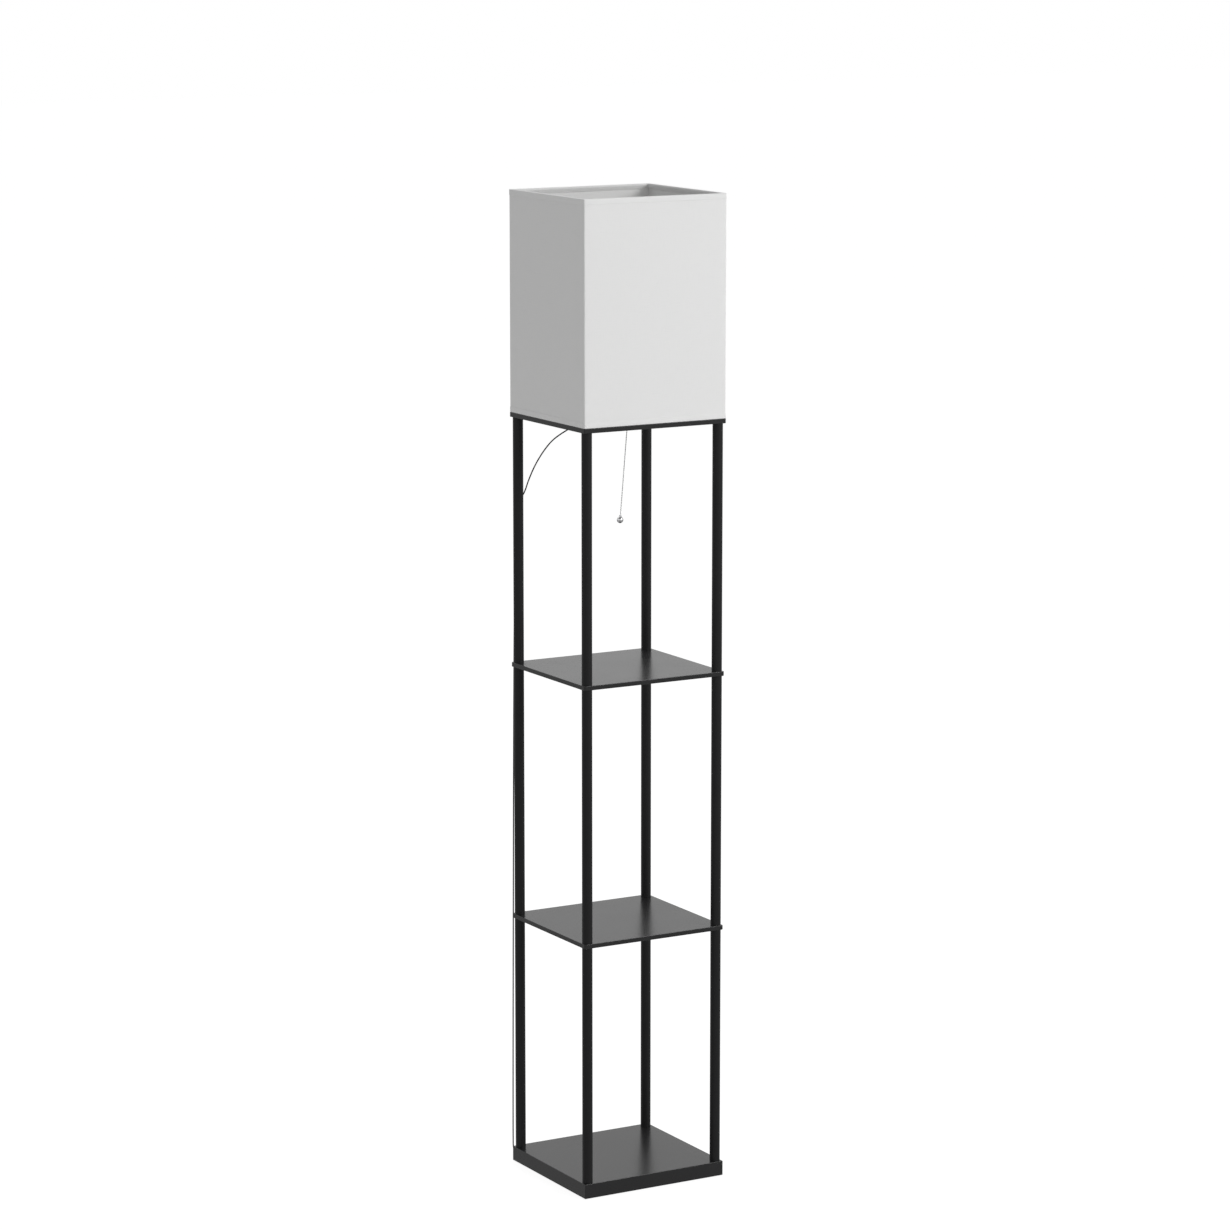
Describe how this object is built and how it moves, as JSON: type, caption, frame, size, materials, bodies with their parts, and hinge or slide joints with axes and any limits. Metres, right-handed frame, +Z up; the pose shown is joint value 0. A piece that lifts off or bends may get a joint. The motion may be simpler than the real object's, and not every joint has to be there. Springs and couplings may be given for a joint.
{
  "type": "shelf floor lamp",
  "caption": "Tall square floor lamp: open shelves on round tube posts, a box-shaped fabric shade on the top plate, a pull chain with a ball, and a mains cord with a plug.",
  "frame": {"origin": "on the floor under the middle of the base, without the cord and its plug", "axes": "+Z up, -Y out of the wide front face, the cord runs down the back left corner at -X, +Y"},
  "size_m": [0.258, 0.2806, 1.6015],
  "materials": {
    "black_board": "semi-gloss black laminate over fibreboard",
    "black_tube": "semi-gloss black powder coat",
    "pad_foam": "matte self-adhesive foam",
    "zinc_steel": "zinc plated",
    "nickel": "nickel plated",
    "black_plastic": "moulded, fine matte",
    "black_rubber": "moulded, satin",
    "holder_plastic": "glossy black thermoset",
    "brass": "plain",
    "frosted_glass": "frosted white inside",
    "clear_glass": "clear",
    "filament": "phosphor coated",
    "white_fabric": "plain woven, white",
    "white_wire": "white coated wire",
    "chain_metal": "polished beads",
    "polished_ball": "mirror polished",
    "cord_black": "smooth black insulation"
  },
  "bodies": {
    "frame": {"base_board": "black_board", "lower_shelf": "black_board", "upper_shelf": "black_board", "top_plate": "black_board", "lower_post_front_left": "black_tube", "lower_post_front_right": "black_tube", "lower_post_back_left": "black_tube", "lower_post_back_right": "black_tube", "middle_post_front_left": "black_tube", "middle_post_front_right": "black_tube", "middle_post_back_left": "black_tube", "middle_post_back_right": "black_tube", "upper_post_front_left": "black_tube", "upper_post_front_right": "black_tube", "upper_post_back_left": "black_tube", "upper_post_back_right": "black_tube", "floor_pads": "pad_foam", "post_inserts": "zinc_steel", "shelf_studs": "zinc_steel", "base_bolts": "zinc_steel", "base_washers": "zinc_steel", "top_screws": "zinc_steel", "chain_eyelet": "nickel", "threaded_nipple": "zinc_steel", "nipple_nuts": "zinc_steel", "outlet_cup": "black_plastic", "outlet_lid": "black_plastic", "strain_relief": "black_rubber", "switch_housing": "holder_plastic", "holder_barrel": "holder_plastic", "socket_core": "holder_plastic", "shell_screws": "brass", "screw_shell": "brass", "centre_contact": "brass", "shade_skin": "white_fabric", "shade_hems": "white_fabric", "shade_top_wire": "white_wire", "shade_fitter": "white_wire", "switch_bracket": "zinc_steel", "switch_pin": "zinc_steel", "switch_contacts": "brass", "return_spring": "zinc_steel", "power_cord": "cord_black", "cord_coil": "cord_black", "cord_clip": "black_plastic", "plug_body": "black_rubber", "plug_blades": "brass"},
    "pull_link": {"upper_chain": "chain_metal"},
    "pull_chain": {"chain_connector": "chain_metal", "lower_chain": "chain_metal", "pull_ball": "polished_ball"},
    "switch_lever": {"switch_lever": "zinc_steel"},
    "switch_rotor": {"switch_rotor": "holder_plastic"},
    "bulb": {"bulb_screw_cap": "nickel", "bulb_insulator": "black_plastic", "bulb_tip_contact": "brass", "bulb_globe": "frosted_glass", "bulb_stem": "clear_glass", "bulb_filaments": "filament"},
    "shade_ring": {"shade_ring": "holder_plastic"}
  },
  "joints": [
    {"name": "chain_pull", "type": "slide", "parent": "frame", "child": "pull_link", "axis": [0, 0, -1], "range_m": [0, 0.0092], "stiffness_N_per_m": 300, "springref_m": -0.005, "deforming": ["return_spring"]},
    {"name": "chain_swing", "type": "hinge", "parent": "pull_link", "child": "pull_chain", "pos_m": [0.0185, 0, 1.2295], "axis": [0, 1, 0], "range_deg": [-35, 25]},
    {"name": "lever_turn", "type": "hinge", "parent": "frame", "child": "switch_lever", "pos_m": [0.0045, 0, 1.2648], "axis": [0, 1, 0], "range_deg": [0, 37.5]},
    {"name": "rotor_turn", "type": "hinge", "parent": "frame", "child": "switch_rotor", "pos_m": [0.0045, 0, 1.2648], "axis": [0, 1, 0], "range_deg": [0, 90.5]},
    {"name": "bulb_turn", "type": "hinge", "parent": "frame", "child": "bulb", "pos_m": [0, 0, 1.3], "axis": [0, 0, 1], "range_deg": [0, 1080]},
    {"name": "shade_ring_turn", "type": "hinge", "parent": "frame", "child": "shade_ring", "pos_m": [0, 0, 1.2946], "axis": [0, 0, 1], "range_deg": [0, 1080]}
  ],
  "couplings": [
    {"joint": "lever_turn", "follows": "chain_pull", "rad_per_m": 70.951},
    {"joint": "rotor_turn", "follows": "chain_pull", "rad_per_m": 170.74}
  ]
}
